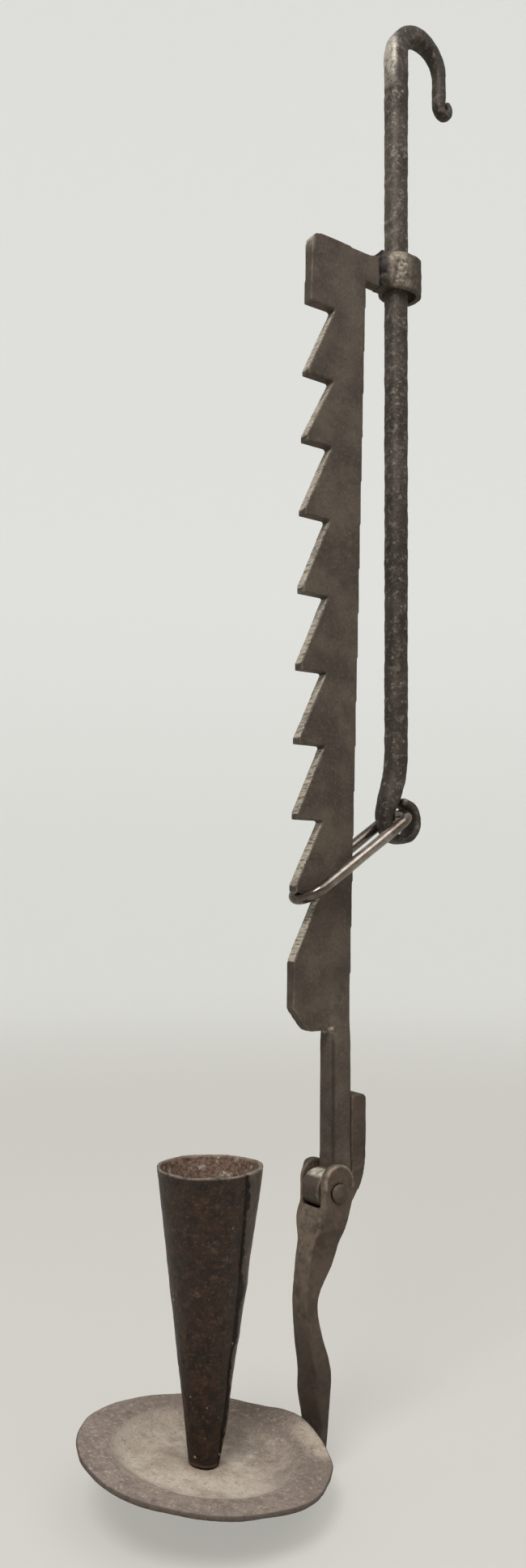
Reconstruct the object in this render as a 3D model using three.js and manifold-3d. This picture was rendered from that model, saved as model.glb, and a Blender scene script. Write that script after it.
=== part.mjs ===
// A wrought-iron trammel candle holder: a hook rod, a sawtooth bar that slides on it,
// a wire bail that catches the teeth, and a hinged arm with a drip pan and a rolled socket.
// Millimetres, +Z up. The origin is the inside crown of the hook, +X points the way the hook opens,
// and the bar, the arm and the candle lie on the -X side, all in the plane Y = 0.
import * as THREE from 'three';
import { mergeVertices } from 'three/addons/utils/BufferGeometryUtils.js';
import Module from 'manifold-3d';

const wasm = await Module();
wasm.setup();

// Fits: what touches at rest keeps GAP, what turns or slides keeps RUNNING.
const GAP = 0.3;
const RUNNING = 0.4;

// Hook rod
const ROD_D = 6;
const HOOK_R = 7.9;
const LIMB_D = 3.5;
const LIMB_DROP = 8;
const SCROLL_R = 1.9;
const SCROLL_D = 1.7;
const SCROLL_TURN = 55;
const EYE_DROP = 211.2;
const EYE_R = 5;
const EYE_STRIP = 2.3;
const EYE_WIDE = 6;
const EYE_SET = 0.8;
const EYE_LEAD = 19;
const EYE_TURN = 266;

// Guide collar
const COLLAR_WALL = 1.5;
const COLLAR_SLACK = 2.6;
const COLLAR_H = 9.6;
const COLLAR_DROP = 62.4;
const COLLAR_TAB = 1.9;
const COLLAR_TAB_WIDE = 4.6;

// Sawtooth bar
const BAR_T = 3.2;
const BAR_W = 18;
const SPINE_W = 10;
const BAR_LEAN = 1.56;
const EAR_L = 4.5;
const EAR_H = 8.4;
const EAR_DROP = 1.1;
const HEAD_H = 18.6;
const HEAD_R = 3;
const NICK_W = 6;
const NICK_DEPTH = 0.7;
const FIRST_SHELF_DROP = 15.9;
const TOOTH_PITCH = 19;
const TIP_FLAT = 1.7;
const BELLY_H = 18;
const BELLY_CUT_H = 6;
const BELLY_CUT_W = 3.9;
const BELLY_R = 2.4;
// How far each hand-filed shelf strays from even spacing, from the top one down.
const SHELF_STRAY = [0, -0.2, 1.4, 1.2, 0.1, -0.7, -0.7, -0.9, -0.1];

// Neck and knuckle at the bar's foot
const NECK = 6.3;
const NECK_SET = 0.2;
const NECK_RUNOUT = 12.8;
const KNUCKLE_R = 4.7;
const KNUCKLE_WIDE = 6.8;
const PIVOT_DROP = 40;
const PIVOT_SET = 0.5;

// Bail: its notch is counted from 0 at the top, and its place in the eye is an angle from +X.
const WIRE_D = 3;
const BAIL_WIDE = 9.7;
const BAIL_NOTCH = 8;
const BAIL_SET = 2;
const BAIL_LIE = 59;

// Hinge rivet
const PIN_D = 3.6;
const PIN_HEAD_D = 4.8;
const PIN_HEAD_H = 1.2;

// Candle arm
const FORK_EAR_T = 2.4;
const FORK_EAR_W = 9;
const FORK_EAR_TOP = 6.8;
const FORK_EAR_SET = 0.5;
const FORK_ROOT = 3.8;
const SLOT_CLEAR = 0.8;
const SHOULDER_T = 9.8;
const SHOULDER_DROP = 3.3;
const LUG_W = 4.3;
const LUG_TOP = 23.3;
const LUG_HEEL = 10;
const LUG_ROOT = 2.9;
const LUG_CHAMFER = 0.8;
// Sections of the strap from the fork down: drop and distance out from the hinge, and the two sizes.
const ARM_SECTIONS = [
  { drop: 8.4, out: 0.9, thick: 9, wide: 12.4 },
  { drop: 13.4, out: 1.9, thick: 8.3, wide: 8.3 },
  { drop: 17.8, out: 3.2, thick: 7.4, wide: 7.7 },
  { drop: 23.4, out: 5.1, thick: 4.7, wide: 7.1 },
  { drop: 27.8, out: 5.8, thick: 3.7, wide: 7.1 },
  { drop: 36.1, out: 4.8, thick: 4.5, wide: 7.7 },
  { drop: 44.4, out: 2.9, thick: 5.3, wide: 8.9 },
  { drop: 50.2, out: 3, thick: 4.8, wide: 9.2 },
];
const FOOT_T = 2.6;
const FOOT_WIDE = 9.2;
const FOOT_BEND_R = 2.8;
const ANKLE_RISE = 2.5;

// Drip pan: a well with a flat floor, and a level brim that is bent up beside the arm.
const PAN_D = 61;
const PAN_T = 1.2;
const PAN_DEPTH = 3.2;
const WELL_D = 47;
const WELL_FLOOR_D = 30;
const BRIM_LIFT = 2.5;
const BRIM_LIFT_ARC = 28;
const PAN_TILT = 7.1;
const PAN_ROLL = 2.8;
const PAN_REACH = 34.8;
const PAN_DROP = 56.1;

// Candle socket and its rivet
const MOUTH_D = 24.8;
const SOCKET_END_D = 7;
const SOCKET_H = 67.9;
const SOCKET_WALL = 1.1;
const SOCKET_LEAN = 1;
const LAP = 0.8;
const LAP_RUN = 120;
const LAP_AZIMUTH = -50;
const PLUG_H = 9;
const TANG_D = 3.4;
const TANG_HEAD_D = 6.6;
const TANG_HEAD_H = 1.6;

// Section powers: 2 is round, and the higher the power the squarer the section.
const ROUND = 2;
const EASED = 2.4;
const STRAP = 3;
const SQUARE = 6;

// Places worked out from the sizes
const { degToRad, lerp, smoothstep } = THREE.MathUtils;
const crownD = (ROD_D + LIMB_D) / 2;
const rodX = -HOOK_R;
const bendZ = crownD / 2 - HOOK_R;
const eye = new THREE.Vector2(rodX + EYE_SET, bendZ - EYE_DROP);
const collarZ = bendZ - COLLAR_DROP;
const boreR = ROD_D / 2 + RUNNING;
const collarR = boreR + COLLAR_WALL;
const earX = rodX - collarR - COLLAR_TAB - GAP;
const lean = Math.tan(degToRad(BAR_LEAN));
const edgeX = (z) => earX - EAR_L + (z - collarZ) * lean;
const notches = SHELF_STRAY.length;
const shelfZ = (k) => collarZ - FIRST_SHELF_DROP - k * TOOTH_PITCH + (SHELF_STRAY[k] ?? 0);
const bellyTop = shelfZ(notches) + TIP_FLAT;
const bellyEnd = bellyTop - BELLY_H;
const neckRight = edgeX(bellyEnd) - NECK_SET;
const neckLeft = neckRight - NECK;
const pivot = new THREE.Vector2(neckLeft - PIVOT_SET, bellyEnd - PIVOT_DROP);
const slotWide = KNUCKLE_WIDE + 2 * RUNNING;
const forkWide = slotWide + 2 * FORK_EAR_T;
const slotR = KNUCKLE_R + SLOT_CLEAR;
const slotFloor = pivot.y - slotR;
const pan = new THREE.Vector2(pivot.x - PAN_REACH, pivot.y - PAN_DROP);
const tilt = degToRad(PAN_TILT);
const roll = degToRad(PAN_ROLL);
const socketFloor = -PAN_DEPTH + GAP;
const footTop = -PAN_DEPTH - PAN_T - GAP - (FOOT_WIDE / 2) * Math.tan(roll);
const footMid = footTop - FOOT_T / 2;

// A closed solid through rings of points with equal counts: walls between rings, a fan on each end.
function loft(rings) {
  const count = rings[0].length;
  const positions = rings.flat().flatMap((p) => [p.x, p.y, p.z]);
  const index = [];
  for (let r = 0; r + 1 < rings.length; r += 1) {
    for (let i = 0; i < count; i += 1) {
      const a = r * count + i;
      const b = r * count + ((i + 1) % count);
      index.push(a, b, b + count, a, b + count, a + count);
    }
  }
  const last = (rings.length - 1) * count;
  for (let i = 1; i + 1 < count; i += 1) {
    index.push(0, i + 1, i, last, last + i, last + i + 1);
  }
  const geometry = new THREE.BufferGeometry();
  geometry.setAttribute('position', new THREE.Float32BufferAttribute(positions, 3));
  geometry.setIndex(index);
  return geometry;
}

// One ring of a forged bar's section, a superellipse across the bar's run.
function section(centre, normal, thick, wide, power, count) {
  const bulge = (value) => Math.sign(value) * Math.abs(value) ** (2 / power);
  return Array.from({ length: count }, (_, i) => {
    const angle = ((i + 0.5) / count) * 2 * Math.PI;
    const u = (thick / 2) * bulge(Math.cos(angle));
    const v = (wide / 2) * bulge(Math.sin(angle));
    return new THREE.Vector3(centre.x + normal.x * u, v, centre.y + normal.y * u);
  });
}

// A forged bar along stations in the plane Y = 0: each has its place, thickness, width and power.
function forge(stations, count) {
  const rings = stations.map((s, i) => {
    const before = stations[Math.max(i - 1, 0)].at;
    const after = stations[Math.min(i + 1, stations.length - 1)].at;
    const along = after.clone().sub(before).normalize();
    const normal = new THREE.Vector2(along.y, -along.x);
    return section(s.at, normal, s.thick, s.wide, s.power, count);
  });
  return loft(rings);
}

// Points of an arc in the plane Y = 0, angles in degrees.
function arcPoints(centre, radius, from, to, steps) {
  return Array.from({ length: steps + 1 }, (_, i) => {
    const angle = degToRad(lerp(from, to, i / steps));
    return new THREE.Vector2(centre.x + radius * Math.cos(angle), centre.y + radius * Math.sin(angle));
  });
}

// An outline in X and Z, thick along Y about the plane Y = 0.
function plate(shape, thick) {
  const geometry = new THREE.ExtrudeGeometry(shape, { depth: thick, bevelEnabled: false, curveSegments: 10 });
  geometry.rotateX(Math.PI / 2);
  geometry.translate(0, thick / 2, 0);
  return geometry;
}

// A round bar along Y through a place in the plane Y = 0.
function crossPin(at, radius, length, segments = 24) {
  const geometry = new THREE.CylinderGeometry(radius, radius, length, segments);
  geometry.translate(at.x, 0, at.y);
  return geometry;
}

function toSolid(geometry) {
  const bare = geometry.clone();
  bare.deleteAttribute('normal');
  bare.deleteAttribute('uv');
  const merged = mergeVertices(bare, 1e-4);
  return new wasm.Manifold(new wasm.Mesh({
    numProp: 3,
    vertProperties: new Float32Array(merged.attributes.position.array),
    triVerts: new Uint32Array(merged.index.array),
  }));
}

function toGeometry(solid) {
  const mesh = solid.getMesh();
  const geometry = new THREE.BufferGeometry();
  geometry.setAttribute('position', new THREE.BufferAttribute(new Float32Array(mesh.vertProperties), 3));
  geometry.setIndex(new THREE.BufferAttribute(new Uint32Array(mesh.triVerts), 1));
  geometry.computeVertexNormals();
  return geometry;
}

const join = (...geometries) => geometries.map(toSolid).reduce((a, b) => a.add(b));
const cut = (solid, ...geometries) => geometries.map(toSolid).reduce((a, b) => a.subtract(b), solid);

const iron = (color, roughness) => new THREE.MeshStandardMaterial({ color, roughness, metalness: 0.85 });

function piece(name, geometry, material) {
  const mesh = new THREE.Mesh(geometry, material);
  mesh.name = name;
  return mesh;
}

// Hook rod: scroll tip, limb, crown, long round rod, and a flattened end curled into an eye.
function hookRod() {
  const stations = [];
  const add = (points, thick, wide, power) => points.forEach((at, i) => {
    const part = (i + 1) / points.length;
    stations.push({ at, thick: thick(part), wide: wide(part), power });
  });
  const taper = (from, to) => (part) => lerp(from, to, part);
  const round = (points, from, to) => add(points, taper(from, to), taper(from, to), ROUND);

  const scroll = new THREE.Vector2(rodX + 2 * HOOK_R + SCROLL_R, bendZ - LIMB_DROP);
  round(arcPoints(scroll, SCROLL_R, SCROLL_TURN, -180, 14), SCROLL_D, LIMB_D);
  round(arcPoints(new THREE.Vector2(rodX + HOOK_R, bendZ), HOOK_R, 0, 180, 16), LIMB_D, ROD_D);

  const leadTop = new THREE.Vector2(rodX, eye.y + EYE_LEAD);
  const eyeLeft = new THREE.Vector2(eye.x - EYE_R, eye.y);
  const lead = new THREE.CubicBezierCurve(
    leadTop,
    new THREE.Vector2(rodX, eye.y + EYE_LEAD * 0.45),
    new THREE.Vector2(eyeLeft.x, eye.y + EYE_LEAD * 0.25),
    eyeLeft,
  );
  const flatten = (part) => lerp(ROD_D, EYE_STRIP, part ** 3);
  round([leadTop], ROD_D, ROD_D);
  add(lead.getPoints(10).slice(1), flatten, taper(ROD_D, EYE_WIDE), EASED);
  add(arcPoints(eye, EYE_R, 180, 180 + EYE_TURN, 20).slice(1), () => EYE_STRIP, () => EYE_WIDE, STRAP);
  return piece('hook_rod', forge(stations, 16), iron(0x4a4440, 0.55));
}

// Guide collar: a strap closed round the rod, with a short tab that is welded to the bar's ear.
function guideCollar() {
  const half = COLLAR_TAB_WIDE / 2;
  const tabEnd = -collarR - COLLAR_TAB;
  const meet = Math.asin(half / collarR);
  const outline = new THREE.Shape();
  outline.absarc(0, 0, collarR, -Math.PI + meet, -Math.PI / 2, false);
  outline.absarc(COLLAR_SLACK, 0, collarR, -Math.PI / 2, Math.PI / 2, false);
  outline.absarc(0, 0, collarR, Math.PI / 2, Math.PI - meet, false);
  outline.lineTo(tabEnd, half);
  outline.lineTo(tabEnd, -half);
  outline.closePath();
  const bore = new THREE.Path();
  bore.absarc(0, 0, boreR, -Math.PI / 2, Math.PI / 2, true);
  bore.absarc(COLLAR_SLACK, 0, boreR, Math.PI / 2, -Math.PI / 2, true);
  bore.closePath();
  outline.holes.push(bore);
  const geometry = new THREE.ExtrudeGeometry(outline, {
    depth: COLLAR_H,
    bevelEnabled: false,
    curveSegments: 16,
  });
  geometry.translate(rodX, 0, collarZ - COLLAR_H / 2);
  return piece('guide_collar', geometry, iron(0x554e48, 0.7));
}

// Sawtooth bar: an eared head, nine notches, a belly, and a square neck that ends in a knuckle.
function sawtoothBar() {
  const earTop = collarZ - EAR_DROP + EAR_H / 2;
  const headTop = shelfZ(0) + HEAD_H;
  const at = (across, z) => [edgeX(z) - across, z];
  const outline = new THREE.Shape();
  outline.moveTo(...at(0, bellyEnd));
  outline.lineTo(...at(0, earTop - EAR_H));
  outline.lineTo(earX, earTop - EAR_H);
  outline.lineTo(earX, earTop);
  outline.quadraticCurveTo(...at(0, headTop - NICK_DEPTH), ...at(NICK_W, headTop));
  outline.lineTo(...at(BAR_W - HEAD_R, headTop));
  outline.quadraticCurveTo(...at(BAR_W, headTop), ...at(BAR_W, headTop - HEAD_R));
  outline.lineTo(...at(BAR_W, shelfZ(0)));
  for (let k = 0; k < notches; k += 1) {
    const tip = shelfZ(k + 1);
    outline.lineTo(...at(SPINE_W, shelfZ(k)));
    outline.lineTo(...at(BAR_W, tip + TIP_FLAT));
    if (k + 1 < notches) {
      outline.lineTo(...at(BAR_W, tip));
    }
  }
  const cutW = BAR_W - BELLY_CUT_W;
  outline.lineTo(...at(BAR_W, bellyEnd + BELLY_CUT_H));
  outline.lineTo(...at(cutW, bellyEnd + BELLY_R / 2));
  outline.quadraticCurveTo(...at(cutW - BELLY_R / 2, bellyEnd), ...at(cutW - BELLY_R, bellyEnd));
  outline.closePath();

  const neckX = (neckLeft + neckRight) / 2;
  const station = (x, z, thick, wide) => ({ at: new THREE.Vector2(x, z), thick, wide, power: SQUARE });
  const neck = forge([
    station(neckX + NECK_RUNOUT * lean, bellyEnd + NECK_RUNOUT, NECK, BAR_T * 0.8),
    station(neckX, bellyEnd - NECK / 2, NECK, NECK),
    station(neckX, pivot.y + 2 * KNUCKLE_R, NECK, NECK),
    station(neckX, pivot.y + KNUCKLE_R, NECK, KNUCKLE_WIDE),
    station(pivot.x + KNUCKLE_R / 2, pivot.y, KNUCKLE_R, KNUCKLE_WIDE),
  ], 20);
  const knuckle = crossPin(pivot, KNUCKLE_R, KNUCKLE_WIDE, 32);
  const hole = crossPin(pivot, PIN_D / 2 + GAP, KNUCKLE_WIDE * 2);
  const solid = cut(join(plate(outline, BAR_T), neck, knuckle), hole);
  return piece('sawtooth_bar', toGeometry(solid), iron(0x46403b, 0.6));
}

// The bail's run: two straight strands and two round ends, from a butt in the far strand round to it.
class LinkCurve extends THREE.Curve {
  constructor(from, to, wide, butt) {
    super();
    this.radius = wide / 2;
    this.along = to.clone().sub(from).normalize();
    this.start = from.clone().addScaledVector(this.along, this.radius);
    this.straight = to.distanceTo(from) - wide;
    this.turn = Math.PI * this.radius;
    this.butt = butt;
  }

  getPoint(t, target = new THREE.Vector3()) {
    const { radius, straight, turn, butt } = this;
    const loop = 2 * (straight + turn);
    const place = (u, v) => target.set(this.start.x + this.along.x * u, v, this.start.y + this.along.y * u);
    let run = ((straight + butt) / 2 + t * (loop - butt)) % loop;
    if (run < straight) {
      return place(run, radius);
    }
    run -= straight;
    if (run < turn) {
      return place(straight + radius * Math.sin(run / radius), radius * Math.cos(run / radius));
    }
    run -= turn;
    if (run < straight) {
      return place(straight - run, -radius);
    }
    run -= straight;
    return place(-radius * Math.sin(run / radius), -radius * Math.cos(run / radius));
  }
}

// Bail: a wire link through the rod's eye whose far end sits under the shelf of the chosen notch.
function bail() {
  const notchZ = shelfZ(BAIL_NOTCH);
  const lieR = EYE_R - EYE_STRIP / 2 - WIRE_D / 2 - GAP;
  const lie = degToRad(BAIL_LIE);
  const inEye = new THREE.Vector2(eye.x + lieR * Math.cos(lie), eye.y + lieR * Math.sin(lie));
  const underShelf = new THREE.Vector2(edgeX(notchZ) - BAR_W + BAIL_SET, notchZ - WIRE_D / 2 - GAP);
  const wire = new THREE.Shape();
  wire.absarc(0, 0, WIRE_D / 2, 0, 2 * Math.PI, false);
  const geometry = new THREE.ExtrudeGeometry(wire, {
    steps: 48,
    curveSegments: 6,
    extrudePath: new LinkCurve(inEye, underShelf, BAIL_WIDE, GAP),
  });
  return piece('bail', geometry, iron(0x6b6159, 0.35));
}

// Candle arm: a fork with two ears and a stop lug, an S-curved strap, and a foot turned under the pan.
function candleArm() {
  const half = FORK_EAR_W / 2;
  const root = slotFloor - FORK_ROOT;
  const ear = new THREE.Shape();
  const earMid = pivot.x + FORK_EAR_SET;
  ear.moveTo(earMid - half, root);
  ear.lineTo(earMid, root);
  ear.lineTo(earMid + half, slotFloor);
  ear.absarc(earMid, pivot.y + FORK_EAR_TOP - half, half, 0, Math.PI, false);
  ear.closePath();
  const earOffset = (slotWide + FORK_EAR_T) / 2;
  const ears = [-earOffset, earOffset].map((y) => plate(ear, FORK_EAR_T).translate(0, y, 0));

  const lugLeft = neckRight + GAP;
  const lugRight = lugLeft + LUG_W;
  const lug = new THREE.Shape();
  lug.moveTo(earMid, root);
  lug.lineTo(earMid + LUG_ROOT, root);
  lug.lineTo(earMid + SHOULDER_T - half, slotFloor);
  lug.quadraticCurveTo(lugRight, pivot.y, lugRight, pivot.y + LUG_HEEL);
  lug.lineTo(lugRight, pivot.y + LUG_TOP - LUG_CHAMFER);
  lug.lineTo(lugRight - LUG_CHAMFER, pivot.y + LUG_TOP);
  lug.lineTo(lugLeft, pivot.y + LUG_TOP);
  lug.lineTo(lugLeft, pivot.y + KNUCKLE_R);
  lug.lineTo(pivot.x + slotR, pivot.y);
  lug.closePath();

  const inPan = (out, up) => new THREE.Vector2(
    pan.x + out * Math.cos(tilt) + up * Math.sin(tilt),
    pan.y - out * Math.sin(tilt) + up * Math.cos(tilt),
  );
  const heelIn = PAN_D / 2 + GAP;
  const shoulderOut = half - FORK_EAR_SET - SHOULDER_T / 2;
  const shoulder = { drop: SHOULDER_DROP, out: shoulderOut, thick: SHOULDER_T, wide: forkWide };
  const upper = [shoulder, ...ARM_SECTIONS].map(({ drop, out, thick, wide }) => (
    { at: new THREE.Vector2(pivot.x - out, pivot.y - drop), thick, wide }
  ));
  upper.push({ at: inPan(heelIn + FOOT_T / 2, ANKLE_RISE), thick: FOOT_T, wide: FOOT_WIDE });
  const route = new THREE.CatmullRomCurve3(upper.map((s) => new THREE.Vector3(s.at.x, 0, s.at.y)));
  const girth = new THREE.CatmullRomCurve3(upper.map((s) => new THREE.Vector3(s.thick, s.wide, 0)));
  const steps = 3 * (upper.length - 1);
  const run = Array.from({ length: steps + 1 }, (_, i) => {
    const place = route.getPoint(i / steps);
    const size = girth.getPoint(i / steps);
    return { at: new THREE.Vector2(place.x, place.z), thick: size.x, wide: size.y, power: SQUARE };
  });
  const addFoot = (p, wide) => run.push({ at: inPan(p.x, p.y), thick: FOOT_T, wide, power: SQUARE });
  const bend = new THREE.Vector2(heelIn - FOOT_BEND_R, footTop + FOOT_BEND_R);
  arcPoints(bend, FOOT_BEND_R + FOOT_T / 2, 0, -90, 8).forEach((p) => addFoot(p, FOOT_WIDE));
  const toe = arcPoints(new THREE.Vector2(0, 0), FOOT_WIDE / 2, 90, 165, 5);
  toe.forEach((p) => addFoot(new THREE.Vector2(p.x, footMid), 2 * p.y));

  const pinHole = crossPin(pivot, PIN_D / 2 + GAP, forkWide * 2);
  const tangHole = new THREE.CylinderGeometry(TANG_D / 2 + GAP, TANG_D / 2 + GAP, FOOT_T * 4, 20);
  tangHole.rotateX(Math.PI / 2);
  tangHole.translate(0, 0, footMid);
  tangHole.rotateY(tilt);
  tangHole.translate(pan.x, 0, pan.y);
  const slot = crossPin(pivot, slotR, slotWide, 32);
  const slotted = cut(join(forge(run, 16), plate(lug, NECK)), slot);
  const solid = cut(join(...ears).add(slotted), pinHole, tangHole);
  return piece('candle_arm', toGeometry(solid), iron(0x4b443e, 0.6));
}

// Hinge rivet: a shank through both ears and the knuckle, with a domed head on each side.
function pivotRivet() {
  const reach = forkWide / 2 + GAP;
  const dome = (side) => Array.from({ length: 5 }, (_, i) => {
    const angle = (i / 4) * (Math.PI / 2);
    const up = reach + PIN_HEAD_H * Math.cos(angle);
    return new THREE.Vector2((PIN_HEAD_D / 2) * Math.sin(angle), side * up);
  });
  const shank = [-reach, reach].map((y) => new THREE.Vector2(PIN_D / 2, y));
  const profile = [...dome(-1), ...shank, ...dome(1).reverse()];
  const mesh = piece('pivot_rivet', new THREE.LatheGeometry(profile, 24), iron(0x3f3934, 0.6));
  mesh.position.set(pivot.x, 0, pivot.y);
  return mesh;
}

// Drip pan: sheet beaten to a shallow well with a hole for the socket's rivet.
function dripPan() {
  const rim = PAN_D / 2;
  const well = WELL_D / 2;
  const floor = WELL_FLOOR_D / 2;
  const wall = well - floor;
  const inside = new THREE.Path();
  inside.moveTo(TANG_D / 2 + 2 * GAP, -PAN_DEPTH);
  inside.lineTo(floor, -PAN_DEPTH);
  inside.bezierCurveTo(floor + wall / 2, -PAN_DEPTH, well - wall / 3, 0, well, 0);
  inside.lineTo((well + rim) / 2, 0);
  inside.lineTo(rim, 0);
  const upper = inside.getPoints(8);
  const under = upper.map((p) => new THREE.Vector2(p.x, p.y - PAN_T));
  const geometry = new THREE.LatheGeometry([...under, ...upper.reverse(), under[0]], 48);
  geometry.rotateX(Math.PI / 2);

  // Bending the brim up draws its edge in a little.
  const place = geometry.attributes.position;
  for (let i = 0; i < place.count; i += 1) {
    const r = Math.hypot(place.getX(i), place.getY(i));
    const beside = smoothstep(place.getX(i) / r, Math.cos(degToRad(BRIM_LIFT_ARC)), 1);
    const lift = BRIM_LIFT * beside * smoothstep(r, well, rim);
    const shrink = 1 - (lift * lift) / (2 * (rim - well) * r);
    place.setXYZ(i, place.getX(i) * shrink, place.getY(i) * shrink, place.getZ(i) + lift);
  }
  geometry.computeVertexNormals();
  const mesh = piece('drip_pan', geometry, iron(0x7d7164, 0.85));
  mesh.rotation.x = roll;
  return mesh;
}

// Candle socket: sheet rolled to a cone, its outer edge lapped one sheet proud along one side.
// The pan tips, so the rings turn level on the way up to the mouth.
function candleSocket() {
  const count = 48;
  const upright = Math.tan(degToRad(SOCKET_LEAN) - tilt);
  const ring = (part, inset, lap) => Array.from({ length: count }, (_, i) => {
    const turn = (i / count) * 360;
    const angle = degToRad(LAP_AZIMUTH + turn);
    const r = lerp(SOCKET_END_D, MOUTH_D, part) / 2 - inset + lap * Math.max(0, 1 - turn / LAP_RUN);
    const out = r * Math.cos(angle);
    const up = SOCKET_H * part;
    const level = out * part * Math.tan(tilt);
    return new THREE.Vector3(out + up * upright, r * Math.sin(angle), socketFloor + up + level);
  });
  const outer = loft([0, 0.25, 0.5, 0.75, 1].map((part) => ring(part, 0, LAP)));
  const bore = loft([-0.1, 0.5, 1.1].map((part) => ring(part, SOCKET_WALL, 0)));
  const solid = cut(toSolid(outer), bore);
  return piece('candle_socket', toGeometry(solid), iron(0x2f2621, 0.8));
}

// Socket rivet: a plug in the cone's foot, and a shank through pan and arm, headed over underneath.
function socketRivet() {
  const plugR = SOCKET_END_D / 2 - SOCKET_WALL - GAP;
  const headTop = footTop - FOOT_T - GAP;
  const profile = [
    new THREE.Vector2(0, headTop - TANG_HEAD_H),
    new THREE.Vector2(TANG_HEAD_D * 0.3, headTop - TANG_HEAD_H * 0.85),
    new THREE.Vector2(TANG_HEAD_D / 2, headTop),
    new THREE.Vector2(TANG_D / 2, headTop),
    new THREE.Vector2(TANG_D / 2, socketFloor),
    new THREE.Vector2(plugR, socketFloor),
    new THREE.Vector2(plugR, socketFloor + PLUG_H),
    new THREE.Vector2(0, socketFloor + PLUG_H),
  ];
  const geometry = new THREE.LatheGeometry(profile, 24);
  geometry.rotateX(Math.PI / 2);
  return piece('socket_rivet', geometry, iron(0x3a332e, 0.7));
}

// The pan, the socket and its rivet share one group: its origin is the centre of the pan's rim.
function panGroup() {
  const group = new THREE.Group();
  group.position.set(pan.x, 0, pan.y);
  group.rotation.y = tilt;
  group.add(dripPan(), candleSocket(), socketRivet());
  return group;
}

const holder = new THREE.Group();
holder.name = 'trammel_candle_holder';
holder.add(hookRod(), guideCollar(), sawtoothBar(), bail(), candleArm(), pivotRivet(), panGroup());

export default holder;
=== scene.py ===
import math

import bmesh
import bpy
import numpy as np
from mathutils import Matrix, Vector


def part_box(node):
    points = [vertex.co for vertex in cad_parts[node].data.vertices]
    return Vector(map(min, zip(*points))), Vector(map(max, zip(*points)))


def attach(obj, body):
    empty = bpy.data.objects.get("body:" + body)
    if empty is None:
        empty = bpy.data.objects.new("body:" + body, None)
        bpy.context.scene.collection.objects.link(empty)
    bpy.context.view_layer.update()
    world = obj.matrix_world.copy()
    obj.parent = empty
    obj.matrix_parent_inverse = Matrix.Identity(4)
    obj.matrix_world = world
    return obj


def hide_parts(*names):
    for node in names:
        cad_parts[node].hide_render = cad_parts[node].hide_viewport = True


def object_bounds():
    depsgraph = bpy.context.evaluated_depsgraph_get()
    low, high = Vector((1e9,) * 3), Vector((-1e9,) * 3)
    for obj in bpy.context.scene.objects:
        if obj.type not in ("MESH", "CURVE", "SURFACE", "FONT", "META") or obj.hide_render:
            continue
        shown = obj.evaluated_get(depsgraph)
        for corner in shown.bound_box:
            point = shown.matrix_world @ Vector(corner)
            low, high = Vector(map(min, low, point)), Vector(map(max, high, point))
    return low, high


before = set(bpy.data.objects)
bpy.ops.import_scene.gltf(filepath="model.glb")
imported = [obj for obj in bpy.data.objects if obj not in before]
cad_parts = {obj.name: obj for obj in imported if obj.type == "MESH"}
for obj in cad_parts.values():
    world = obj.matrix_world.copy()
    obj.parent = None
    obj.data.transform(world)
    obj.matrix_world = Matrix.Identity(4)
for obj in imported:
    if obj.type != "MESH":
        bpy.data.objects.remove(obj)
cad_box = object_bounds()

MM = 0.001
FULL_TURN = 6.283

# Sizes of the pieces in millimetres, and angles in degrees, as the solids have them.
ROD_D, HOOK_R, LIMB_D, LIMB_DROP = 6.0, 7.9, 3.5, 8.0
SCROLL_R, SCROLL_D, SCROLL_TURN = 1.9, 1.7, 55.0
EYE_DROP, EYE_R, EYE_STRIP, EYE_WIDE, EYE_SET, EYE_LEAD, EYE_TURN = 211.2, 5.0, 2.3, 6.0, 0.8, 19.0, 266.0
ROD_X = -HOOK_R
BEND_Z = (ROD_D + LIMB_D) / 4 - HOOK_R
EYE = Vector((ROD_X + EYE_SET, BEND_Z - EYE_DROP))
WIRE_D, BAIL_WIDE, BAIL_BUTT = 3.0, 9.7, 0.3
BAIL_FROM, BAIL_TO = Vector((-6.0442, -214.9678)), Vector((-40.0753, -237.725))
PIVOT = Vector((-32.0339, -311.125))
PAN_CENTRE = Vector((-66.8339, -367.225))
NECK, NECK_RIGHT, BELLY_END, LUG_TOP = 6.3, -25.2339, -271.125, 23.3
EAR_SET, EAR_RISE, FORK_SLOT = 0.5, 2.3, 7.4
PAN_D, PAN_T, PAN_DEPTH, PAN_TILT, PAN_ROLL = 61.0, 1.2, 3.2, 7.1, 2.8
WELL_D, WELL_FLOOR_D, BRIM_LIFT = 47.0, 30.0, 2.5
MOUTH_D, SOCKET_END_D, SOCKET_WALL, SOCKET_LEAN = 24.8, 7.0, 1.1, 1.0
LAP, LAP_RUN, LAP_AZIMUTH = 0.8, 120.0, -50.0
SOCKET_FLOOR = -PAN_DEPTH + 0.3

# The scene's own: the head's top-left corner, painted pale as a highlight, the back ear's bevel, the socket's
# skewed lap and ragged height.
HEAD_LEFT, HEAD_TOP, EAR_BEVEL = -37.4, -65.0, 0.55
LAP_SKEW, SOCKET_H = -24.0, 68.3


def srgb(red, green, blue):
    """A colour as it is read off a picture, 0 to 255, as linear values."""
    shares = [value / 255 for value in (red, green, blue)]
    linear = [v / 12.92 if v <= 0.04045 else ((v + 0.055) / 1.055) ** 2.4 for v in shares]
    return (*linear, 1.0)


def blend(one, other, share):
    """A colour part of the way from one to another."""
    return tuple(a + (b - a) * share for a, b in zip(one, other))


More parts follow.
